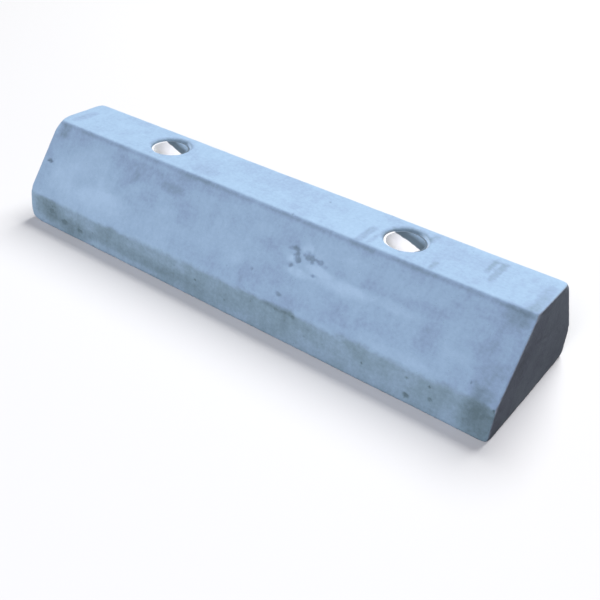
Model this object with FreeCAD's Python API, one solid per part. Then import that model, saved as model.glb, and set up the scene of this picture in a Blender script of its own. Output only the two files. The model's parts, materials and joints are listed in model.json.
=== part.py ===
"""Parking wheel stop: a short precast concrete block that one wheel of a parked car rolls against.

The block has a flat base, nearly upright lower faces, sloping upper faces and a flat top. Two anchor
holes run down through it from rounded mouths in the top, each lined with a length of plastic pipe.
Inside, a cage of round steel bars and hooked stirrups, tied with soft wire, holds the concrete together.

Frame: millimetres, origin at the middle of the base, +X along the block, +Y to the rear, +Z up.
The block is the same front and rear, so front only means the -Y side.
"""

import math
import os

import FreeCAD
import Part

Vec = FreeCAD.Vector
X_AXIS = Vec(1, 0, 0)
Z_AXIS = Vec(0, 0, 1)

# The block's outside
LENGTH = 600.0
HEIGHT = 112.0
BASE_WIDTH = 170.0
CREASE_WIDTH = 165.0  # where the lower faces turn into the slopes
CREASE_HEIGHT = 38.0
TOP_WIDTH = 66.0
TOP_ARRIS_RADIUS = 2.5
CREASE_RADIUS = 9.0
END_ARRIS_RADIUS = 2.0
BASE_ARRIS_RADIUS = 2.0

# The anchor holes and the pipe that lines them
HOLE_SPACING = 304.0
SLEEVE_OUTER_RADIUS = 21.0
SLEEVE_WALL = 2.0
MOUTH_RADIUS = 3.0  # of the quarter round that leads from the top down to the sleeve's rim

# The steel cage
BAR_RADIUS = 4.5
BAR_END_COVER = 25.0
BOTTOM_BAR_Y = 52.0
BOTTOM_BAR_Z = 30.0
TOP_BAR_Y = 28.0
TOP_BAR_Z = 76.0
STIRRUP_RADIUS = 3.0
STIRRUP_GAP = 0.3  # between a stirrup's bend and the bar inside it
STIRRUP_SPOTS = {
    "left_end": -255.0,
    "left_inner": -100.0,
    "middle": 0.0,
    "right_inner": 100.0,
    "right_end": 255.0,
}
HOOK_TURN = math.radians(135)
HOOK_TAIL = 30.0
TIE_RING_RADIUS = 9.0
TIE_RING_SHIFT = 3.0  # the ring's centre lies this far outside the bar's axis
TIE_WIRE_RADIUS = 0.6
TIE_TWIST_RADIUS = 1.1
TIE_TWIST_LENGTH = 10.0

# What follows from those
BEND_RADIUS = BAR_RADIUS + STIRRUP_GAP + STIRRUP_RADIUS
HOOK_SIDE_STEP = STIRRUP_RADIUS + 0.2  # half the distance between a stirrup's two hooks
SLEEVE_LENGTH = HEIGHT - MOUTH_RADIUS

BAR_CENTRES = {
    "front_top": (-TOP_BAR_Y, TOP_BAR_Z),
    "front_bottom": (-BOTTOM_BAR_Y, BOTTOM_BAR_Z),
    "rear_bottom": (BOTTOM_BAR_Y, BOTTOM_BAR_Z),
    "rear_top": (TOP_BAR_Y, TOP_BAR_Z),
}
HOLES = {"left": -HOLE_SPACING / 2, "right": HOLE_SPACING / 2}


# ---------------------------------------------------------------- the concrete block


def block_blank():
    """The block before it is bored: its cross-section pushed along X."""
    corners = [
        (-BASE_WIDTH / 2, 0),
        (-CREASE_WIDTH / 2, CREASE_HEIGHT),
        (-TOP_WIDTH / 2, HEIGHT),
        (TOP_WIDTH / 2, HEIGHT),
        (CREASE_WIDTH / 2, CREASE_HEIGHT),
        (BASE_WIDTH / 2, 0),
    ]
    points = [Vec(-LENGTH / 2, y, z) for y, z in corners]
    section = Part.Face(Part.makePolygon(points + points[:1]))
    return section.extrude(X_AXIS * LENGTH)


def is_near(value, wanted):
    return abs(value - wanted) < 1e-3


def edges_at(shape, where):
    """The edges whose bounding box meets a condition."""
    return [e for e in shape.Edges if where(e.BoundBox)]


def runs_along_at(height):
    """Picks the edges that run the block's length at one height."""
    return lambda box: box.XLength > LENGTH / 2 and is_near(box.ZMin, height) and is_near(box.ZMax, height)


def lies_in_end_face(box):
    """Picks the outline of the two end faces, but for the part that rests on the ground."""
    return is_near(box.XLength, 0) and is_near(abs(box.XMin), LENGTH / 2) and box.ZMax > 1


def lies_in_base(box):
    return is_near(box.ZMax, 0)


def round_edges(solid):
    """Softens every edge as a mould does: first along the block, then round its ends, then the base."""
    steps = [
        (CREASE_RADIUS, runs_along_at(CREASE_HEIGHT)),
        (TOP_ARRIS_RADIUS, runs_along_at(HEIGHT)),
        (END_ARRIS_RADIUS, lies_in_end_face),
        (BASE_ARRIS_RADIUS, lies_in_base),
    ]
    shape = solid
    for radius, where in steps:
        shape = shape.makeFillet(radius, edges_at(shape, where))
    return shape


def bore_hole(shape, x):
    """Bores one anchor hole straight through and rounds its mouth."""
    bored = shape.cut(Part.makeCylinder(SLEEVE_OUTER_RADIUS, HEIGHT, Vec(x, 0, 0)))

    def is_mouth(box):
        in_top = is_near(box.ZMin, HEIGHT) and is_near(box.ZMax, HEIGHT)
        return in_top and is_near(box.Center.x, x) and is_near(box.XLength, 2 * SLEEVE_OUTER_RADIUS)

    return bored.makeFillet(MOUTH_RADIUS, edges_at(bored, is_mouth))


def concrete_body(embedded):
    """The cast block, with a void wherever steel is embedded in it."""
    shape = round_edges(block_blank())
    for x in HOLES.values():
        shape = bore_hole(shape, x)
    return shape.cut(embedded)


# ---------------------------------------------------------------- the hole linings


def hole_sleeve(x):
    """A length of pipe, flush with the base, that forms and lines one anchor hole."""
    outside = Part.makeCylinder(SLEEVE_OUTER_RADIUS, SLEEVE_LENGTH, Vec(x, 0, 0))
    inside = Part.makeCylinder(SLEEVE_OUTER_RADIUS - SLEEVE_WALL, SLEEVE_LENGTH, Vec(x, 0, 0))
    return outside.cut(inside)


# ---------------------------------------------------------------- the steel cage


def long_bar(y, z):
    """A plain round bar that runs the length of the cage."""
    half = LENGTH / 2 - BAR_END_COVER
    return Part.makeCylinder(BAR_RADIUS, 2 * half, Vec(-half, y, z), X_AXIS)


def heading(angle):
    """The unit direction in the YZ plane at this angle from +Y."""
    return Vec(0, math.cos(angle), math.sin(angle))


def heading_between(start, end):
    """The angle, from +Y, of the way from one bar to another."""
    return math.atan2(end[1] - start[1], end[0] - start[0])


def bend_point(x, centre, angle):
    """Where a stirrup that runs at this heading, with the bar on its left, passes the bar."""
    return Vec(x, *centre) + heading(angle - math.pi / 2) * BEND_RADIUS


def bend(x, centre, enter, leave):
    """A stirrup's bend round one bar, from one heading to another, both as angles."""
    spots = [bend_point(x, centre, a) for a in (enter, (enter + leave) / 2, leave)]
    return Part.Arc(*spots)


def crossing_leg(start, end):
    """A leg that steps sideways between two X places, as two arcs that leave no kink."""
    middle = (start + end) / 2
    run = Vec(0, end.y - start.y, 0)
    step = Vec(end.x - start.x, 0, 0)
    # On a gentle arc the quarter point has stepped one eighth of the way
    return [
        Part.Arc(start, start + run / 4 + step / 8, middle),
        Part.Arc(middle, end - run / 4 - step / 8, end),
    ]


def stirrup(x):
    """One hooked hoop round the four bars. Both hooks grip the front top bar, side by side."""
    front_top = BAR_CENTRES["front_top"]
    front_bottom = BAR_CENTRES["front_bottom"]
    rear_bottom = BAR_CENTRES["rear_bottom"]
    rear_top = BAR_CENTRES["rear_top"]
    near, far = x - HOOK_SIDE_STEP, x + HOOK_SIDE_STEP

    down = heading_between(front_top, front_bottom)
    across = 0.0
    up = heading_between(rear_bottom, rear_top)
    back = math.pi
    tail_in = down - HOOK_TURN
    tail_out = back + HOOK_TURN

    first = bend(near, front_top, tail_in, down)
    lower_front = bend(near, front_bottom, down, across)
    lower_rear = bend(far, rear_bottom, across, up)
    upper_rear = bend(far, rear_top, up, back)
    last = bend(far, front_top, back, tail_out)

    start = first.StartPoint - heading(tail_in) * HOOK_TAIL
    finish = last.EndPoint + heading(tail_out) * HOOK_TAIL
    route = [
        Part.LineSegment(start, first.StartPoint),
        first,
        Part.LineSegment(first.EndPoint, lower_front.StartPoint),
        lower_front,
        *crossing_leg(lower_front.EndPoint, lower_rear.StartPoint),
        lower_rear,
        Part.LineSegment(lower_rear.EndPoint, upper_rear.StartPoint),
        upper_rear,
        Part.LineSegment(upper_rear.EndPoint, last.StartPoint),
        last,
        Part.LineSegment(last.EndPoint, finish),
    ]
    path = Part.Wire([piece.toShape() for piece in route])
    wire_end = Part.makeCircle(STIRRUP_RADIUS, start, heading(tail_in))
    return path.makePipe(Part.Face(Part.Wire(wire_end)))


def tie_wire(x, corner):
    """A ring of soft wire, slanted across a bar and the stirrup that bends round it, with its twist."""
    centre = Vec(x, *BAR_CENTRES[corner])
    outward = heading(corner_bisector(corner))
    along_stirrup = X_AXIS.cross(outward)
    normal = (X_AXIS - along_stirrup).normalize()
    ring_centre = centre + outward * TIE_RING_SHIFT
    ring = Part.makeTorus(TIE_RING_RADIUS, TIE_WIRE_RADIUS, ring_centre, normal)
    twist_start = ring_centre - outward * TIE_RING_RADIUS
    twist = Part.makeCylinder(TIE_TWIST_RADIUS, TIE_TWIST_LENGTH, twist_start, outward * -1)
    return ring.fuse(twist)


def corner_bisector(corner):
    """The angle from +Y that points straight out of the cage at one of its bars."""
    names = list(BAR_CENTRES)
    i = names.index(corner)
    before = BAR_CENTRES[names[i - 1]]
    here = BAR_CENTRES[corner]
    after = BAR_CENTRES[names[(i + 1) % len(names)]]
    inward = heading(heading_between(here, before)) + heading(heading_between(here, after))
    return math.atan2(-inward.z, -inward.y)


def tie_wires():
    """A tie at every crossing but the front top bar's, where the hooks already hold it."""
    ties = []
    for x in STIRRUP_SPOTS.values():
        ties.append(tie_wire(x - HOOK_SIDE_STEP, "front_bottom"))
        ties.append(tie_wire(x + HOOK_SIDE_STEP, "rear_bottom"))
        ties.append(tie_wire(x + HOOK_SIDE_STEP, "rear_top"))
    return ties


# ---------------------------------------------------------------- every node


def build_nodes():
    """Every named piece, as {node name: shape}."""
    steel = {f"{name}_bar": long_bar(y, z) for name, (y, z) in BAR_CENTRES.items()}
    for name, x in STIRRUP_SPOTS.items():
        steel[f"{name}_stirrup"] = stirrup(x)
    ties = tie_wires()
    steel["tie_wires"] = Part.makeCompound(ties)

    nodes = dict(steel)
    for name, x in HOLES.items():
        nodes[f"{name}_hole_sleeve"] = hole_sleeve(x)
    embedded = [s for node, s in steel.items() if node != "tie_wires"] + ties
    nodes["concrete_body"] = concrete_body(embedded)
    return nodes


def main():
    os.makedirs("parts", exist_ok=True)
    for name, shape in build_nodes().items():
        if not shape.isValid() or any(s.Volume <= 0 for s in shape.Solids):
            raise ValueError(f"{name} is not a sound solid")
        shape.exportStep(os.path.join("parts", f"{name}.step"))
        print(f"{name}: {len(shape.Solids)} solids, {shape.Volume / 1000:.1f} cm3")


main()
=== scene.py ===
import json
import math
import random

import bmesh
import bpy
import numpy as np
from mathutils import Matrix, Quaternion, Vector, noise
from mathutils.bvhtree import BVHTree


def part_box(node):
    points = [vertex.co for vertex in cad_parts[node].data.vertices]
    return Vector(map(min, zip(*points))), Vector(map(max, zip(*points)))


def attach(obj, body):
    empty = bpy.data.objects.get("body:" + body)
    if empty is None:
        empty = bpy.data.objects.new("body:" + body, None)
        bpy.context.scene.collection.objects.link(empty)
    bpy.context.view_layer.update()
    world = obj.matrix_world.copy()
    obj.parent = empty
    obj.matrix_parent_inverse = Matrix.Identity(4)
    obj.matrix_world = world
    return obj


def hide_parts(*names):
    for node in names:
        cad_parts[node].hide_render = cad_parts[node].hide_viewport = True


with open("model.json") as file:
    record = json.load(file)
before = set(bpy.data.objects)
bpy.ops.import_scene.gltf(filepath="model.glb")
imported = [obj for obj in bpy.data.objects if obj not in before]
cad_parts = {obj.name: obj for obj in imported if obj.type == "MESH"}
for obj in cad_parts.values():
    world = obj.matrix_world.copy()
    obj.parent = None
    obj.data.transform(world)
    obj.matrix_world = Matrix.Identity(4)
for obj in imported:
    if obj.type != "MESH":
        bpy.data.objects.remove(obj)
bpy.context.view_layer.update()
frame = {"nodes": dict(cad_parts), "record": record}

MM = 0.001
BODY = "root"
BLOCK_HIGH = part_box("concrete_body")[1]
HALF_LENGTH = BLOCK_HIGH.x
HEIGHT = BLOCK_HIGH.z
MOUNTS = {m["name"]: m for m in frame["record"]["mounts"]}
HOLE_PLACES = [MOUNTS[f"{side}_anchor_hole"]["pos_m"][0] for side in ("left", "right")]

# The visible block's mesh
VOXEL = 1.35 * MM
MOST_TRIANGLES = 190_000

# A long face narrower than this belongs to a rounded edge
NARROWEST_FACE = 10 * MM

# The ways from a hole's middle, in the plan view, to the sides of its mouth that are most worn, most
# darkened as painted shade and most lit as painted light
WORN_SIDE = math.radians(60)
SHADED_MOUTH_SIDE = math.radians(120)
LIT_LIP_SIDE = math.radians(30)


# ---------------------------------------------------------------- the block's shape


def outer_shell(node):
    """A closed mesh of a CAD node's outside, without the sealed voids inside it."""
    bm = bmesh.new()
    bm.from_mesh(node.data)
    bmesh.ops.remove_doubles(bm, verts=bm.verts, dist=0.001 * MM)
    start = min(bm.verts, key=lambda v: v.co.x)
    outside = {start}
    waiting = [start]
    while waiting:
        vert = waiting.pop()
        for edge in vert.link_edges:
            other = edge.other_vert(vert)
            if other not in outside:
                outside.add(other)
                waiting.append(other)
    inside = [v for v in bm.verts if v not in outside]
    bmesh.ops.delete(bm, geom=inside, context="VERTS")
    bmesh.ops.recalc_face_normals(bm, faces=bm.faces)
    return bm


def section_corners(shell):
    """The sharp corners of the block's section, as (y, z), where its long faces' planes would meet."""
    faces = {}
    for face in shell.faces:
        normal = face.normal
        if abs(normal.x) < 0.01:
            whole_degrees = round(math.degrees(math.atan2(normal.z, normal.y)))
            faces.setdefault(whole_degrees, []).append(face)
    planes = []
    for group in faces.values():
        area = sum(f.calc_area() for f in group)
        if area > HALF_LENGTH * NARROWEST_FACE:
            largest = max(group, key=lambda f: f.calc_area())
            planes.append((math.atan2(largest.normal.z, largest.normal.y), largest))
    planes.sort(key=lambda entry: entry[0])
    corners = []
    for (_, one), (_, other) in zip(planes, planes[1:] + planes[:1]):
        rows = [(f.normal.y, f.normal.z) for f in (one, other)]
        offsets = [f.normal.dot(f.verts[0].co) for f in (one, other)]
        corners.append(np.linalg.solve(rows, offsets))
    return corners


def new_object(name, mesh):
    obj = bpy.data.objects.new(name, mesh)
    bpy.context.scene.collection.objects.link(obj)
    return obj


def apply_modifiers(obj):
    """Replaces an object's mesh with what its modifiers make of it."""
    graph = bpy.context.evaluated_depsgraph_get()
    shaped = obj.evaluated_get(graph)
    mesh = bpy.data.meshes.new_from_object(shaped, preserve_all_data_layers=True, depsgraph=graph)
    obj.modifiers.clear()
    obj.data = mesh


def vertex_normals(mesh):
    flat = np.empty(len(mesh.vertices) * 3)
    mesh.vertex_normals.foreach_get("vector", flat)
    return flat.reshape(-1, 3)


def set_coordinates(mesh, points):
    mesh.vertices.foreach_set("co", points.ravel())
    mesh.update()


def set_attribute(mesh, name, values):
    layer = mesh.attributes.new(name, "FLOAT", "POINT")
    layer.data.foreach_set("value", values.astype(np.float32))


def field(points, wavelength, seed):
    """Smooth noise from about -1 to 1 at every point. Each seed reads it at a place far from the others."""
    shift = np.array((7.3, 3.1, 5.7)) * seed
    return np.array([noise.noise(p) for p in (points / wavelength + shift).tolist()])


def layers(points, entries):
    """A sum of noises. Each entry is (size, wavelength, seed)."""
    return sum(size * field(points, wavelength, seed) for size, wavelength, seed in entries)


def fading(distance, width):
    """1 at a distance of 0, falling smoothly to almost 0 at twice the width."""
    return np.exp(-((distance / width) ** 2))


def smooth_step(values, low, high):
    t = np.clip((values - low) / (high - low), 0, 1)
    return t * t * (3 - 2 * t)


def distance_to_segment(points, start, end):
    start, end = np.array(start), np.array(end)
    along = end - start
    t = np.clip((points - start) @ along / (along @ along), 0, 1)
    return np.linalg.norm(points - start - t[:, None] * along, axis=1)


class Block:
    """The visible block's surface points, and the measures that its relief and stains are made from."""

    def __init__(self, points, normals, corners):
        self.points = points
        self.normals = normals
        self.corners = corners
        self.on_base = normals[:, 2] < -0.9
        self.crease_height = sorted(z for _, z in corners)[2]

    def half_width_at(self, height):
        """The section's half-width at one of its corners' heights."""
        return max(y for y, z in self.corners if abs(z - height) < MM)

    def on_front(self, height):
        """The (y, z) of the front face at any height."""
        heights = (0, self.crease_height, HEIGHT)
        return -np.interp(height, heights, [self.half_width_at(h) for h in heights]), height

    def arris_distance(self):
        """How far each point is from the nearest sharp edge, base edges left out."""
        nearest = np.full(len(self.points), np.inf)
        count = len(self.corners)
        for i, (y, z) in enumerate(self.corners):
            if z > MM:
                ends = (-HALF_LENGTH, y, z), (HALF_LENGTH, y, z)
                nearest = np.minimum(nearest, distance_to_segment(self.points, *ends))
            next_y, next_z = self.corners[(i + 1) % count]
            for x in (-HALF_LENGTH, HALF_LENGTH):
                rim = distance_to_segment(self.points, (x, y, z), (x, next_y, next_z))
                nearest = np.minimum(nearest, rim)
        return nearest

    def patch(self, centre, across, along, power=2):
        """1 at the middle of a patch, falling to 0 at its rim. Across is its half-size in X, and along is
        its half-size up the face. A power of 2 makes it oval, and a higher one squarer."""
        offset = self.points - np.array(centre)
        side = np.hypot(offset[:, 1], offset[:, 2])
        reach = (np.abs(offset[:, 0] / across) ** power + (side / along) ** power) ** (1 / power)
        return np.clip(1 - reach, 0, 1)


# How far in from each kind of corner its wear reaches, and the wear's depth as a share of that
PLAIN_CORNER = 9 * MM
CREASE_CORNER = 6 * MM
WORN_TOP_CORNER = 18 * MM
WORN_FOOT_CORNER = 20 * MM
CORNER_DEPTH = 0.2

# The ends aren't quite square to the block: the right end's rear edge stands further out than its front
# edge, and the left end's foot stands further out than its top
RIGHT_END_SKEW = 3 * MM
LEFT_END_LEAN = 5 * MM
LEAN_PIVOT = 0.7  # where the leaning end is in its true place, as a share of the block's height
SKEW_START = 190 * MM  # how far from mid-length the ends begin to move

# Noise layers, each (size, wavelength, seed)
WAVES = [(0.30 * MM, 90 * MM, 1), (0.18 * MM, 28 * MM, 2)]
GRAIN = [(0.10 * MM, 4.5 * MM, 4), (0.06 * MM, 2.6 * MM, 7)]
GOUGE_RAGGEDNESS = [(0.6, 4.5 * MM, 3), (0.4, 2.2 * MM, 13)]
ARRIS_UNEVENNESS = [(0.5, 24 * MM, 5), (0.3, 7 * MM, 6)]
CHIP_SPREAD = [(1.0, 16 * MM, 8), (0.4, 5 * MM, 9)]
STAIN_BLUR = [(0.35, 14 * MM, 21), (0.25, 5 * MM, 22)]

# Depths and sizes of the wear
SKIN_LOSS = 0.2 * MM  # taken off every open face, so that the waves hardly stand out past the CAD block
ROUNDING_DEPTH = 0.25 * MM
ROUNDING_WIDTH = 2.5 * MM
CHIP_DEPTH = 1.2 * MM
CHIP_WIDTH = 3.5 * MM
BASE_ROUGHNESS = 0.7 * MM
BASE_WAVELENGTH = 12 * MM
BUG_HOLE_RADII = (0.8 * MM, 1.6 * MM)
BUG_HOLE_COUNT = 60
BUG_HOLE_SEED = 4

# Distances from a hole's middle: within the first, only the mouth is carved, and within the second there
# are no air holes
HOLE_WALL = 22 * MM
NO_BUG_HOLES = 32 * MM

# The depth that each hole's mouth is rounded to, and the mouth's wear, which fades out between two radii
# and fades in between two depths
MOUTH_DEPTH = 3 * MM
MOUTH_WEAR = 0.9 * MM
MOUTH_RAGGEDNESS = 0.4 * MM
WORN_RADII = (25 * MM, 34 * MM)
WORN_DEPTHS = (4 * MM, 1 * MM)

# The painted shade on each mouth and the painted light on its lip. Each fades out between two radii, and
# fades in between two distances from the hole's middle towards its side.
SHADED_MOUTH_RADII = (22 * MM, 27 * MM)
SHADED_MOUTH_REACHES = (-6 * MM, 4 * MM)
LIT_LIP_RADII = (23 * MM, 25 * MM)
LIT_LIP_REACHES = (12 * MM, 21 * MM)

# What the material is told of the shape
# Pits and gouges are painted darker the deeper they are, as the shade in them
DARKEST_PIT = 1 * MM  # a pit of this depth or more is as dark as a pit can be
EDGE_WIDTH = 4 * MM
SHADE_LINE_DROP = 3 * MM  # how far below the top the slope's dark line is
SHADE_LINE_WIDTH = 2 * MM

# Marks on the front and top, in millimetres. A face mark is (x, height, half-length in X, half-length
# up the face, strength). A top mark is (x, y, half-length in X, half-length in Y, strength).
# Gouges have a depth as their strength.
FRONT_GOUGES = [
    (62, 87, 6, 5, 0.8),
    (64, 83, 6, 5, 0.9),
    (67, 79, 6, 5, 0.9),
    (56, 86, 5, 3, 0.5),
    (77, 85, 8, 7, 0.9),
    (83, 84, 9, 7, 0.9),
    (91, 84, 8, 4, 0.8),
    (98, 82, 6, 3, 0.4),
    (62, 73, 4.5, 4, 0.8),
    (90, 72, 5, 2.5, 0.9),
    (23, 57, 3, 2.5, 0.6),
    (62, 47, 5, 3, 0.6),
    (-287, 71, 6, 4, 0.9),
    (-264, 22, 6, 4, 0.6),
    (-243, 15, 7, 4, 0.6),
    (-217, 13, 7, 4, 0.5),
    (85, 33, 4, 3, 0.6),
    (216, 9, 5, 4, 0.8),
    (240, 17, 4, 3, 0.5),
]
FRONT_TONES = [
    (-240, 66, 85, 32, 0.55),
    (-190, 54, 50, 20, 0.65),
    (-265, 60, 34, 24, 0.30),
    (-15, 68, 70, 24, 0.35),
    (15, 52, 45, 22, 0.20),
    (75, 80, 42, 18, 0.35),
    (59, 78, 8, 6, 0.90),
    (70, 69, 20, 6, 0.90),
    (92, 77, 20, 6, 0.80),
    (74, 90, 8, 8, 0.60),
    (118, 72, 44, 10, 1.00),
    (170, 75, 60, 7, 0.50),
    (150, 92, 80, 14, 0.30),
    (190, 43, 80, 6, 0.30),
    (25, 90, 30, 11, 0.35),
    (-175, 61, 32, 10, 0.30),
    (-150, 107, 55, 8, 0.30),
    (-150, 6, 90, 6, 0.30),
    (-284, 104, 13, 14, -0.60),
    (-145, 96, 80, 20, -0.35),
    (-106, 92, 22, 9, -0.40),
    (-125, 78, 30, 16, -0.30),
    (-160, 89, 8, 13, -0.30),
    (-60, 106, 60, 10, -0.25),
    (125, 108, 30, 8, -0.30),
    (180, 57, 85, 12, -0.25),
    (288, 78, 34, 70, -0.40),
    (284, 106, 26, 14, -0.45),
    (285, 43, 18, 10, -0.40),
    (-266, 23, 40, 20, -0.75),
    (-222, 12, 40, 14, -0.60),
    (-150, 29, 90, 12, -0.25),
    (-130, 15, 90, 10, -0.35),
    (-70, 14, 110, 16, -0.25),
    (68, 36, 26, 5, -0.60),
    (287, 18, 30, 36, -0.75),
]
TOP_TONES = [
    (-282, -7, 8, 22, -0.35),
    (118, -19, 5, 24, -0.60),
    (128, -22, 3, 14, -0.45),
    (195, -25, 3.5, 12, -0.55),
    (236, 10, 3.5, 15, -0.60),
    (245, 4, 4, 23, -0.60),
    (240, 22, 10, 3, -0.40),
    (294, -8, 8, 30, -0.45),
    (172, 20, 4, 10, -0.35),
    (-81, -19, 22, 10, -0.20),
    (-196, 9, 5, 5, -0.20),
    (220, 8, 30, 16, -0.12),
    (12, 15, 26, 12, -0.12),
    (-20, -12, 30, 5, -0.12),
    (50, -18, 30, 5, -0.12),
]


def mark_centre(block, x, height):
    return (x * MM, *block.on_front(height * MM))


def gouges(block):
    """Depth of the named gouges at every point."""
    depth = np.zeros(len(block.points))
    ragged = layers(block.points, GOUGE_RAGGEDNESS)
    for x, height, across, along, deep in FRONT_GOUGES:
        reach = block.patch(mark_centre(block, x, height), across * MM, along * MM)
        inside = smooth_step(reach * (1 + ragged) + 0.25 * ragged * (reach > 0), 0.1, 0.7)
        depth = np.maximum(depth, deep * MM * inside)
    return depth


def bug_holes(block):
    """Depth of small air holes scattered over the sides and ends, most of them on the lower faces."""
    rng = random.Random(BUG_HOLE_SEED)
    depth = np.zeros(len(block.points))
    uneven = 1 + 0.3 * field(block.points, 2.5 * MM, 14)
    on_faces = ~block.on_base & ~near_hole(block, NO_BUG_HOLES)
    low = np.flatnonzero(on_faces & (block.points[:, 2] < block.crease_height))
    high = np.flatnonzero(on_faces & (block.points[:, 2] >= block.crease_height))
    for i in range(BUG_HOLE_COUNT):
        group = high if i % 3 == 0 else low
        middle = block.points[group[rng.randrange(len(group))]]
        radius = rng.uniform(*BUG_HOLE_RADII)
        deepest = rng.uniform(0.4, 0.8) * radius
        reach = np.linalg.norm(block.points - middle, axis=1) * uneven / radius
        depth = np.maximum(depth, deepest * np.sqrt(np.clip(1 - reach**2, 0, 1)))
    return depth


def near_hole(block, radius):
    """Which points are within a radius of a hole's middle, in the plan view."""
    close = np.zeros(len(block.points), bool)
    for x in HOLE_PLACES:
        close |= np.hypot(block.points[:, 0] - x, block.points[:, 1]) < radius
    return close


def arris_wear(block, distance):
    """Depth that use has taken off the sharp edges: a thin rounding, with ragged chips low down."""
    uneven = 0.5 + layers(block.points, ARRIS_UNEVENNESS)
    rounding = ROUNDING_DEPTH * fading(distance, ROUNDING_WIDTH) * np.clip(uneven, 0, 2)
    chipped = smooth_step(layers(block.points, CHIP_SPREAD), 0.50, 0.80)
    chips = CHIP_DEPTH * chipped * fading(distance, CHIP_WIDTH)
    return rounding + chips * (block.points[:, 2] < HEIGHT / 2)


def corner_shape(x, y, z):
    """How far a corner's wear reaches, and which way it goes as shares in X, in Y and up."""
    at_top = z > HEIGHT / 2
    at_worn_end = x < 0 and y < 0
    if z > MM and not at_top:
        return CREASE_CORNER, (1.0, 0.6, 0.0)
    if at_worn_end and not at_top:
        return WORN_FOOT_CORNER, (1.0, 0.6, 1.1)
    if at_worn_end:
        return WORN_TOP_CORNER, (1.0, 0.8, -0.5)
    return PLAIN_CORNER, (1.0, 0.8, -0.5 if at_top else 0.3)


def corner_pull(block):
    """How far the block's outer corners are drawn in. Those at the front of the left end are worn most."""
    pull = np.zeros_like(block.points)
    for y, z in block.corners:
        for x in (-HALF_LENGTH, HALF_LENGTH):
            radius, (in_x, in_y, up) = corner_shape(x, y, z)
            away = np.linalg.norm(block.points - np.array((x, y, z)), axis=1) / radius
            step = np.array((-np.sign(x) * in_x, -np.sign(y) * in_y, up))
            strength = CORNER_DEPTH * radius * np.clip(1 - away, 0, 1) ** 2
            pull += strength[:, None] * step / np.linalg.norm(step)
    return pull


def end_skew(block):
    """Moves points along X, more and more towards the ends, so that the right end is out of square and the
    left end leans."""
    x, y, z = block.points.T
    toward_end = np.clip((np.abs(x) - SKEW_START) / (HALF_LENGTH - SKEW_START), 0, 1) ** 2
    to_rear = np.clip(0.5 + y / (2 * block.half_width_at(0)), 0, 1)
    right = RIGHT_END_SKEW * to_rear
    left = LEFT_END_LEAN * (z / HEIGHT - LEAN_PIVOT)
    move = np.zeros_like(block.points)
    move[:, 0] = np.where(x > 0, right, left) * toward_end
    return move


def mouth_wear(block):
    """Moves each hole's mouth outwards on its worn side and leaves it a little ragged."""
    move = np.zeros_like(block.points)
    ragged = field(block.points, 7 * MM, 11)
    low, high = (HEIGHT - depth for depth in WORN_DEPTHS)
    shallow = smooth_step(block.points[:, 2], low, high)
    for x in HOLE_PLACES:
        offset = block.points[:, :2] - np.array((x, 0))
        radius = np.linalg.norm(offset, axis=1)
        angle = np.arctan2(offset[:, 1], offset[:, 0])
        near = 1 - smooth_step(radius, *WORN_RADII)
        worn = 0.5 + 0.5 * np.cos(angle - WORN_SIDE)
        push = (MOUTH_WEAR * worn + MOUTH_RAGGEDNESS * ragged) * shallow * near
        outward = offset / np.maximum(radius, 0.001 * MM)[:, None]
        move[:, :2] += outward * push[:, None]
    return move


def mouth_side(block, side, radii, reaches):
    """1 on one side of each hole's mouth. It falls to 0 outwards, between two radii, and round the mouth,
    between two distances from the hole's middle towards that side."""
    share = np.zeros(len(block.points))
    for x in HOLE_PLACES:
        offset = block.points[:, :2] - np.array((x, 0))
        inside = 1 - smooth_step(np.linalg.norm(offset, axis=1), *radii)
        toward = offset @ np.array((math.cos(side), math.sin(side)))
        share = np.maximum(share, inside * smooth_step(toward, *reaches))
    return share


def tones(block):
    """How much darker (below 0) or paler (above 0) the surface is than its usual colour, by its marks."""
    blur = 1 + layers(block.points, STAIN_BLUR)
    tone = np.zeros(len(block.points))
    for x, height, across, along, strength in FRONT_TONES:
        reach = block.patch(mark_centre(block, x, height), across * MM, along * MM)
        tone += strength * smooth_step(reach * blur, 0.0, 0.7)
    on_top = smooth_step(block.normals[:, 2], 0.8, 0.95)
    for x, y, across, along, strength in TOP_TONES:
        centre = (x * MM, y * MM, HEIGHT)
        reach = block.patch(centre, across * MM, along * MM, power=4)
        tone += strength * smooth_step(reach * blur, 0.0, 0.4) * on_top
    return tone


def fine_mesh(shell):
    """An even, closed mesh of a shell, with its points on the shell's own surface."""
    mesh = bpy.data.meshes.new("concrete_block")
    shell.to_mesh(mesh)
    obj = new_object("concrete_block", mesh)
    remesh = obj.modifiers.new("remesh", "REMESH")
    remesh.mode = "VOXEL"
    remesh.voxel_size = VOXEL
    apply_modifiers(obj)
    surface = BVHTree.FromBMesh(shell)
    points = np.array([surface.find_nearest(v.co)[0] for v in obj.data.vertices])
    set_coordinates(obj.data, points)
    return obj, points


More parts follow.
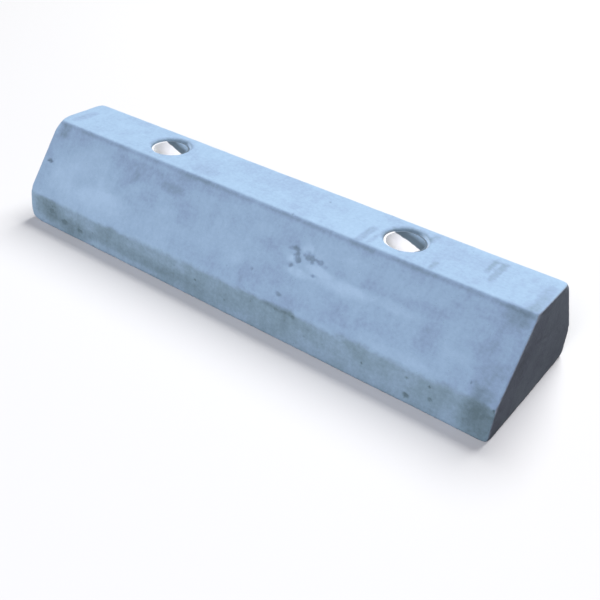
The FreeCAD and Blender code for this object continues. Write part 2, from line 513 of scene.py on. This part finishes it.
def carve(mesh, block):
    """Gives the block its relief, and keeps what its material needs to know as mesh attributes."""
    points = block.points
    outside_holes = ~near_hole(block, HOLE_WALL) | (points[:, 2] > HEIGHT - MOUTH_DEPTH)
    distance = block.arris_distance()
    gouge = gouges(block)
    pits = bug_holes(block)
    wear = arris_wear(block, distance)

    waves = layers(points, WAVES) + layers(points, GRAIN) - SKIN_LOSS
    rough_base = BASE_ROUGHNESS * np.clip(field(points, BASE_WAVELENGTH, 12) + 0.4, 0, 1)
    outward = np.where(block.on_base, -rough_base, waves - gouge - pits - wear) * outside_holes
    moved = points + block.normals * outward[:, None]
    moved += (corner_pull(block) + mouth_wear(block)) * outside_holes[:, None]
    moved += end_skew(block)
    moved[:, 2] = np.clip(moved[:, 2], 0, None)
    set_coordinates(mesh, moved)

    below_top = HEIGHT - points[:, 2]
    on_slope = block.normals[:, 2] < 0.75
    attributes = {
        "tone": tones(block),
        # Painted shade in pits and gouges, darker the deeper they are
        "pit": np.clip((gouge + pits) / DARKEST_PIT, 0, 1),
        "edge": fading(distance, EDGE_WIDTH),
        "wear": np.clip(wear / CHIP_DEPTH, 0, 1),
        # Painted shade on one side of each hole's mouth
        "mouth": mouth_side(block, SHADED_MOUTH_SIDE, SHADED_MOUTH_RADII, SHADED_MOUTH_REACHES),
        # Painted light on the upright lip of each mouth's right side
        "lit_lip": mouth_side(block, LIT_LIP_SIDE, LIT_LIP_RADII, LIT_LIP_REACHES),
        "end": smooth_step(np.abs(block.normals[:, 0]), 0.8, 0.98),
        "shade_line": fading(below_top - SHADE_LINE_DROP, SHADE_LINE_WIDTH) * on_slope,
    }
    for name, values in attributes.items():
        set_attribute(mesh, name, values)


def concrete_block():
    """The block as it's seen: the CAD body's outside, remeshed, with the relief of worn cast concrete."""
    shell = outer_shell(frame["nodes"]["concrete_body"])
    corners = section_corners(shell)
    obj, points = fine_mesh(shell)
    shell.free()
    block = Block(points, vertex_normals(obj.data), corners)
    carve(obj.data, block)

    triangles = 2 * len(obj.data.polygons)
    if triangles > MOST_TRIANGLES:
        thin = obj.modifiers.new("thin", "DECIMATE")
        thin.ratio = MOST_TRIANGLES / triangles
        apply_modifiers(obj)
    mesh = obj.data
    mesh.polygons.foreach_set("use_smooth", np.ones(len(mesh.polygons), bool))
    mesh.update()
    return obj, block


# ---------------------------------------------------------------- materials


class Nodes:
    """A material's node tree, with short calls for the nodes used most."""

    def __init__(self, name):
        self.material = bpy.data.materials.new(name)
        self.material.use_nodes = True
        self.tree = self.material.node_tree
        self.tree.nodes.clear()
        self.output = self.add("ShaderNodeOutputMaterial")
        self.place = self.add("ShaderNodeTexCoord").outputs["Object"]

    def add(self, kind, **settings):
        node = self.tree.nodes.new(kind)
        for key, value in settings.items():
            setattr(node, key, value)
        return node

    def link(self, value, socket):
        """Feeds a socket from another socket or from a plain value."""
        if isinstance(value, bpy.types.NodeSocket):
            self.tree.links.new(value, socket)
        elif value is not None:
            socket.default_value = value

    def math(self, operation, a, b=None, c=None):
        node = self.add("ShaderNodeMath", operation=operation)
        for value, socket in zip((a, b, c), node.inputs):
            self.link(value, socket)
        return node.outputs[0]

    def noise(self, wavelength, detail, roughness, seed, stretch=(1, 1, 1), distortion=0.0):
        """Noise from 0 to 1 with features about one wavelength across. The stretch is for each axis."""
        mapping = self.add("ShaderNodeMapping")
        self.link(self.place, mapping.inputs["Vector"])
        mapping.inputs["Location"].default_value = (seed, seed * 0.7, seed * 1.3)
        mapping.inputs["Scale"].default_value = [1 / s for s in stretch]
        node = self.add("ShaderNodeTexNoise")
        self.link(mapping.outputs[0], node.inputs["Vector"])
        node.inputs["Scale"].default_value = 1 / wavelength
        node.inputs["Detail"].default_value = detail
        node.inputs["Roughness"].default_value = roughness
        node.inputs["Distortion"].default_value = distortion
        return node.outputs["Fac"]

    def cells(self, wavelength):
        """The distance from the middle of the nearest of many cells, in wavelengths."""
        node = self.add("ShaderNodeTexVoronoi")
        self.link(self.place, node.inputs["Vector"])
        node.inputs["Scale"].default_value = 1 / wavelength
        return node.outputs["Distance"]

    def faces_up(self, low, high):
        """1 where the surface looks up, 0 where its normal's height is below the low limit."""
        split = self.add("ShaderNodeSeparateXYZ")
        self.link(self.add("ShaderNodeNewGeometry").outputs["Normal"], split.inputs[0])
        return self.range(split.outputs["Z"], low, high)

    def attribute(self, name):
        return self.add("ShaderNodeAttribute", attribute_name=name).outputs["Fac"]

    def ramp(self, value, stops):
        """A colour ramp. Each stop is (position, colour)."""
        node = self.add("ShaderNodeValToRGB")
        self.link(value, node.inputs[0])
        elements = node.color_ramp.elements
        while len(elements) < len(stops):
            elements.new(0.5)
        for element, (position, colour) in zip(elements, stops):
            element.position = position
            element.color = (*colour, 1)
        return node.outputs["Color"]

    def range(self, value, low, high, to_low=0.0, to_high=1.0):
        """Takes values from low to high over to another range, smoothly, and holds them at its limits."""
        node = self.add("ShaderNodeMapRange", interpolation_type="SMOOTHSTEP")
        for given, name in ((value, "Value"), (low, "From Min"), (high, "From Max")):
            self.link(given, node.inputs[name])
        node.inputs["To Min"].default_value = to_low
        node.inputs["To Max"].default_value = to_high
        return node.outputs["Result"]

    def mix(self, factor, a, b, blend="MIX"):
        node = self.add("ShaderNodeMix", data_type="RGBA", blend_type=blend)
        self.link(factor, node.inputs["Factor"])
        for value, name in ((a, "A"), (b, "B")):
            socket = next(s for s in node.inputs if s.name == name and s.type == "RGBA")
            self.link((*value, 1) if isinstance(value, tuple) else value, socket)
        return next(s for s in node.outputs if s.type == "RGBA")

    def bump(self, height, distance, strength):
        node = self.add("ShaderNodeBump")
        self.link(height, node.inputs["Height"])
        node.inputs["Distance"].default_value = distance
        node.inputs["Strength"].default_value = strength
        return node.outputs["Normal"]

    def wobble(self, texture, amount, base):
        """A base value that a texture of 0 to 1 moves up and down, by half the amount each way."""
        return self.math("MULTIPLY_ADD", self.math("SUBTRACT", texture, 0.5), amount, base)

    def surface(self, colour, roughness, normal, metallic=0.0, specular=0.5):
        shader = self.add("ShaderNodeBsdfPrincipled")
        self.link(colour, shader.inputs["Base Color"])
        self.link(roughness, shader.inputs["Roughness"])
        self.link(normal, shader.inputs["Normal"])
        self.link(metallic, shader.inputs["Metallic"])
        self.link(specular, shader.inputs["Specular IOR Level"])
        self.tree.links.new(shader.outputs[0], self.output.inputs["Surface"])
        return self.material


# The concrete's colours, darkest first. Their blue is painted light, the cast of blue skylight on grey
# concrete.
DEEP = (0.115, 0.170, 0.215)
DARK = (0.197, 0.283, 0.377)
DIM = (0.243, 0.340, 0.478)
MIDDLE = (0.274, 0.395, 0.532)
PALE = (0.350, 0.490, 0.642)
# Painted light on the holes' lips
LIP_LIGHT_COLOUR = (0.550, 0.720, 0.900)
TONE_STOPS = [(0.0, DEEP), (0.28, DARK), (0.43, DIM), (0.55, MIDDLE), (0.9, PALE)]

# What the colour is multiplied by on the right end, as painted warm bounce light in its shade, and on the
# foot, as painted shade
END_SHADE_TINT = (1.33, 1.05, 0.92)
FOOT_SHADE_TINT = (1.01, 1.02, 0.94)

# The tone of clean concrete, from 0, darkest, to 1, palest, and how far each mesh attribute moves it
CLEAN_TONE = 0.52
TONE_WEIGHTS = {
    "tone": 0.34,
    "edge": 0.05,
    "wear": 0.15,
    "shade_line": -0.22,
    # painted shade on one side of each hole's mouth
    "mouth": -0.24,
    # painted shade in pits and gouges, darker the deeper they are
    "pit": -0.42,
}

# The foot's painted shade: how far it moves the tone, the heights above the crease between which it fades
# out, and how ragged its upper edge is
FOOT_SHADE_WEIGHT = -0.22
FOOT_SHADE_FADE = (-5 * MM, 2 * MM)
FOOT_SHADE_RAGGEDNESS = 18 * MM

PIN_HOLE_SPACING = 2.4 * MM

# The pipes, and the cement on them. The rim colours and the cement's dark colour are painted shade.
PLASTIC_STOPS = [(0.2, (0.90, 0.91, 0.90)), (0.4, (0.96, 0.96, 0.96)), (0.8, (0.98, 0.98, 0.98))]
SHADED_RIM_PLASTIC = (0.690, 0.695, 0.700)
SHADED_FILM = (0.100, 0.145, 0.180)
SHADED_RIM_FILM = (0.085, 0.125, 0.165)

# The steel of the nodes whose names end in each word: its mill scale and rust colours, the rust's share,
# and how the rust's patches are stretched
STEELS = {
    "bar": ("bar_steel_rusted", (0.05, 0.05, 0.055), (0.16, 0.06, 0.025), 0.25, (6, 1, 1)),
    "stirrup": ("stirrup_steel_rusted", (0.055, 0.05, 0.05), (0.19, 0.075, 0.03), 0.33, (1, 2, 2)),
    "wires": ("annealed_wire", (0.03, 0.03, 0.033), (0.11, 0.045, 0.02), 0.15, (1, 1, 1)),
}


def concrete_material(crease_height):
    """Weathered concrete. Its tone is a sum of noises, painted shade on the lower faces and the mesh's own
    attributes, some of which are painted light and shade.
    """
    n = Nodes("weathered_concrete")
    split = n.add("ShaderNodeSeparateXYZ")
    n.link(n.place, split.inputs[0])
    # The right end, whose colour is tinted as painted warm bounce light in its shade
    on_right = n.math("GREATER_THAN", split.outputs["X"], 0.0)
    shaded_right_end = n.math("MULTIPLY", n.attribute("end"), on_right)

    cloud = n.noise(110 * MM, detail=4, roughness=0.55, seed=1.0, stretch=(1.6, 1, 1))
    mottle = n.noise(26 * MM, detail=5, roughness=0.6, seed=2.0, stretch=(1.4, 1, 1), distortion=0.3)
    speck = n.noise(3.5 * MM, detail=3, roughness=0.6, seed=3.0)
    drips = n.noise(20 * MM, detail=3, roughness=0.5, seed=4.0, stretch=(0.4, 1, 5))

    # The top is weathered more evenly than the sides
    calm = n.math("MULTIPLY_ADD", n.faces_up(0.8, 0.95), -0.45, 1.0)
    clouds = n.wobble(mottle, 0.55, n.wobble(cloud, 0.70, 0.0))
    tone = n.math("MULTIPLY_ADD", clouds, calm, CLEAN_TONE)
    tone = n.wobble(speck, 0.32, tone)
    tone = n.wobble(drips, 0.20, tone)

    # Painted shade darkens the lower faces, with a ragged upper edge at the crease
    ragged_height = n.wobble(mottle, FOOT_SHADE_RAGGEDNESS, split.outputs["Z"])
    low, high = (crease_height + step for step in FOOT_SHADE_FADE)
    foot = n.range(ragged_height, low, high, 1.0, 0.0)
    foot = n.math("MULTIPLY", foot, n.math("SUBTRACT", 1.0, shaded_right_end))
    tone = n.math("MULTIPLY_ADD", foot, FOOT_SHADE_WEIGHT, tone)

    for name, weight in TONE_WEIGHTS.items():
        tone = n.math("MULTIPLY_ADD", n.attribute(name), weight, tone)
    colour = n.ramp(tone, TONE_STOPS)
    # Painted light on the upright lip of each mouth's right side
    upright = n.math("SUBTRACT", 1.0, n.faces_up(0.5, 0.95))
    colour = n.mix(n.math("MULTIPLY", n.attribute("lit_lip"), upright), colour, LIP_LIGHT_COLOUR)
    # Painted warm bounce light in the right end's shade
    colour = n.mix(shaded_right_end, colour, END_SHADE_TINT, blend="MULTIPLY")
    # The lower faces' painted shade is also less blue
    colour = n.mix(foot, colour, FOOT_SHADE_TINT, blend="MULTIPLY")

    # Pin holes, where the specks are dense
    dots = n.range(n.cells(PIN_HOLE_SPACING), 0.10, 0.2, 1.0, 0.0)
    pin_holes = n.math("MULTIPLY", dots, n.range(speck, 0.52, 0.66))
    colour = n.mix(n.math("MULTIPLY", pin_holes, 0.55), colour, DEEP)

    fine = n.noise(1.2 * MM, detail=3, roughness=0.7, seed=5.0)
    relief = n.math("MULTIPLY_ADD", fine, 0.5, n.math("MULTIPLY", speck, 0.7))
    relief = n.math("MULTIPLY_ADD", pin_holes, -0.8, relief)
    normal = n.bump(relief, distance=0.35 * MM, strength=0.8)
    roughness = n.math("MULTIPLY_ADD", mottle, 0.25, 0.72)
    return n.surface(colour, roughness, normal, specular=0.25)


# The cement film in a sleeve reaches down to a slanting plane: the plane's depth at the hole's middle, and
# how much deeper it lies for each step towards the worn side
FILMS = {"left": (1.8 * MM, 0.92), "right": (3.4 * MM, 0.69)}
FILM_RAGGEDNESS = 3 * MM
FILM_EDGE = 0.8 * MM  # half the width over which the film's edge thins out
# The film is painted paler towards the mouth, over painted shade deeper down
FILM_LIGHT_HEIGHTS = (6 * MM, 15 * MM)  # how far above its edge the film starts and ends turning pale


def sleeve_material(name, x, film_depth, film_slope):
    """White rigid pipe, with cement on its rim and upper wall that comes lowest on the worn side. The
    cement is painted dark as the shade on the hole's upper wall, paler towards the mouth, and the pipe's
    rim is painted darker than its wall as shade.
    """
    n = Nodes(name)
    split = n.add("ShaderNodeSeparateXYZ")
    n.link(n.place, split.inputs[0])
    along_x = n.math("MULTIPLY", n.math("SUBTRACT", split.outputs["X"], x), math.cos(WORN_SIDE))
    toward = n.math("MULTIPLY_ADD", split.outputs["Y"], math.sin(WORN_SIDE), along_x)
    depth = n.math("SUBTRACT", HEIGHT, split.outputs["Z"])
    uneven = n.noise(6 * MM, detail=3, roughness=0.6, seed=2.0)
    limit = n.math("MULTIPLY_ADD", toward, film_slope, film_depth)
    limit = n.wobble(uneven, FILM_RAGGEDNESS, limit)
    above_limit = n.math("SUBTRACT", limit, depth)
    film = n.range(above_limit, -FILM_EDGE, FILM_EDGE)

    # The up-facing rim is painted darker than the pipe's wall, as shade
    on_rim = n.faces_up(0.5, 0.9)
    grime = n.noise(12 * MM, detail=4, roughness=0.6, seed=7.0, stretch=(1, 1, 3))
    plastic = n.mix(on_rim, n.ramp(grime, PLASTIC_STOPS), SHADED_RIM_PLASTIC)
    # Painted shade: dark cement deep down, paler towards the mouth, darker on the rim
    film_light = n.range(above_limit, *FILM_LIGHT_HEIGHTS)
    cement_and_shade = n.mix(on_rim, n.mix(film_light, SHADED_FILM, PALE), SHADED_RIM_FILM)
    colour = n.mix(film, plastic, cement_and_shade)

    scuffs = n.noise(2 * MM, detail=3, roughness=0.6, seed=9.0, stretch=(1, 1, 6))
    height = n.math("MULTIPLY_ADD", film, 0.8, n.math("MULTIPLY", scuffs, 0.35))
    normal = n.bump(height, distance=0.3 * MM, strength=0.7)
    roughness = n.math("MULTIPLY_ADD", film, 0.45, n.math("MULTIPLY_ADD", scuffs, 0.2, 0.3))
    return n.surface(colour, roughness, normal)


def steel_material(name, scale_colour, rust_colour, rust_share, streak):
    """Hot-rolled steel: dark mill scale, with rust in patches."""
    n = Nodes(name)
    patches = n.noise(12 * MM, detail=5, roughness=0.65, seed=1.0, stretch=streak)
    powder = n.noise(1.2 * MM, detail=4, roughness=0.7, seed=2.0)
    patches = n.math("MULTIPLY_ADD", powder, 0.25, patches)
    rust = n.range(patches, 0.75 - rust_share, 0.95 - rust_share)
    bright_rust = n.mix(powder, rust_colour, tuple(c * 1.7 for c in rust_colour))
    scale = n.mix(powder, scale_colour, tuple(c * 1.5 for c in scale_colour))
    colour = n.mix(rust, scale, bright_rust)
    normal = n.bump(n.math("MULTIPLY_ADD", rust, 0.5, powder), distance=0.15 * MM, strength=0.8)
    metallic = n.math("MULTIPLY_ADD", rust, -0.75, 0.8)
    roughness = n.math("MULTIPLY_ADD", rust, 0.4, 0.5)
    return n.surface(colour, roughness, normal, metallic=metallic)


def give(obj, material):
    obj.data.materials.clear()
    obj.data.materials.append(material)


def finish_materials(block_object, block):
    """Gives every visible piece its material."""
    give(block_object, concrete_material(block.crease_height))
    for side, x in zip(("left", "right"), HOLE_PLACES):
        pipe = sleeve_material(f"{side}_pipe", x, *FILMS[side])
        give(frame["nodes"][f"{side}_hole_sleeve"], pipe)
    steels = {ending: steel_material(*look) for ending, look in STEELS.items()}
    for name, node in frame["nodes"].items():
        ending = name.split("_")[-1]
        if ending in steels:
            give(node, steels[ending])


# ---------------------------------------------------------------- the studio

FLOOR_REACH = 2.5
FADE_START = 0.8  # how far out the floor starts to fade
FLOOR_COLOUR = (0.62, 0.62, 0.62)
CARD_COLOUR = (0.01, 0.01, 0.01)
CARD_LENGTH = 1.2
WORLD_LIGHT = 0.08
LAMP_DISTANCE = 5.0
# Each is (name, azimuth and elevation in degrees, width in metres, power in watts, colour)
LAMPS = [
    ("rear_high", 180, 55, 3.0, 354, (1.0, 1.0, 1.0)),
    ("front", 12, 38, 2.0, 188, (1.0, 1.0, 1.1)),
]

CAMERA_PLACE = (0.450, -0.621, 0.493)
CAMERA_SIDE = (33.6, 34.0)  # the azimuth and elevation that the camera looks from
CAMERA_ROLL = math.radians(4.6)
LENS_LENGTH = 49.3  # in millimetres, as the sensor's width is
SENSOR_WIDTH = 36.0


def floor_material():
    """A plain pale floor that fades out into the white behind it. A dark card lies by the block's right
    end, to keep that end in shade: it takes away the floor's bounce, but the camera doesn't see it."""
    n = Nodes("studio_floor")
    split = n.add("ShaderNodeSeparateXYZ")
    n.link(n.place, split.inputs[0])
    past_end = n.math("GREATER_THAN", split.outputs["X"], HALF_LENGTH)
    within_reach = n.math("LESS_THAN", split.outputs["X"], HALF_LENGTH + CARD_LENGTH)
    within_sides = n.math("LESS_THAN", n.math("ABSOLUTE", split.outputs["Y"]), CARD_LENGTH / 2)
    card = n.math("MULTIPLY", n.math("MULTIPLY", past_end, within_reach), within_sides)
    unseen = n.math("SUBTRACT", 1.0, n.add("ShaderNodeLightPath").outputs["Is Camera Ray"])
    colour = n.mix(n.math("MULTIPLY", card, unseen), FLOOR_COLOUR, CARD_COLOUR)
    shader = n.add("ShaderNodeBsdfDiffuse")
    n.link(colour, shader.inputs["Color"])

    distance = n.add("ShaderNodeVectorMath", operation="LENGTH")
    n.link(n.place, distance.inputs[0])
    faded = n.add("ShaderNodeMixShader")
    n.link(n.range(distance.outputs["Value"], FADE_START, FLOOR_REACH), faded.inputs["Fac"])
    n.link(shader.outputs[0], faded.inputs[1])
    n.link(n.add("ShaderNodeBsdfTransparent").outputs[0], faded.inputs[2])
    n.link(faded.outputs[0], n.output.inputs["Surface"])
    return n.material


def studio_floor():
    mesh = bpy.data.meshes.new("studio_floor")
    reach = FLOOR_REACH
    corners = [(-reach, -reach, 0), (reach, -reach, 0), (reach, reach, 0), (-reach, reach, 0)]
    mesh.from_pydata(corners, [], [(0, 1, 2, 3)])
    floor = new_object("studio_floor", mesh)
    give(floor, floor_material())


def direction(azimuth, elevation):
    """The way out from the origin: azimuth 0 is -Y, the front, and 90 is +X, the right."""
    a, e = math.radians(azimuth), math.radians(elevation)
    return Vector((math.sin(a) * math.cos(e), -math.cos(a) * math.cos(e), math.sin(e)))


def softbox(name, azimuth, elevation, size, power, colour):
    """A large round lamp that points at the block."""
    lamp = bpy.data.lights.new(name, "AREA")
    lamp.shape = "DISK"
    lamp.size = size
    lamp.energy = power
    lamp.color = colour
    obj = bpy.data.objects.new(name, lamp)
    bpy.context.scene.collection.objects.link(obj)
    out = direction(azimuth, elevation)
    obj.location = out * LAMP_DISTANCE
    obj.rotation_mode = "QUATERNION"
    obj.rotation_quaternion = (-out).to_track_quat("-Z", "Y")


def studio_lights():
    for lamp in LAMPS:
        softbox(*lamp)
    bpy.context.scene.world = white_world()


def white_world():
    """A little light from all round. The camera itself sees plain white past the floor's edge."""
    world = bpy.data.worlds.new("studio")
    world.use_nodes = True
    tree = world.node_tree
    backdrop = tree.nodes["Background"]
    backdrop.inputs["Color"].default_value = (1, 1, 1, 1)
    light_path = tree.nodes.new("ShaderNodeLightPath")
    strength = tree.nodes.new("ShaderNodeMapRange")
    strength.inputs["To Min"].default_value = WORLD_LIGHT
    strength.inputs["To Max"].default_value = 1.0
    tree.links.new(light_path.outputs["Is Camera Ray"], strength.inputs["Value"])
    tree.links.new(strength.outputs["Result"], backdrop.inputs["Strength"])
    return world


def camera():
    """The view: from the right and above, at a short distance, rolled a little."""
    data = bpy.data.cameras.new("camera")
    data.sensor_width = SENSOR_WIDTH
    data.lens = LENS_LENGTH
    obj = bpy.data.objects.new("camera", data)
    bpy.context.scene.collection.objects.link(obj)
    obj.location = CAMERA_PLACE
    level = (-direction(*CAMERA_SIDE)).to_track_quat("-Z", "Y")
    obj.rotation_mode = "QUATERNION"
    obj.rotation_quaternion = level @ Quaternion((0, 0, 1), CAMERA_ROLL)
    bpy.context.scene.camera = obj


def main():
    block_object, block = concrete_block()
    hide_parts("concrete_body")
    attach(block_object, BODY)
    finish_materials(block_object, block)
    studio_floor()
    studio_lights()
    camera()
    bpy.context.scene.view_settings.view_transform = "Standard"


main()
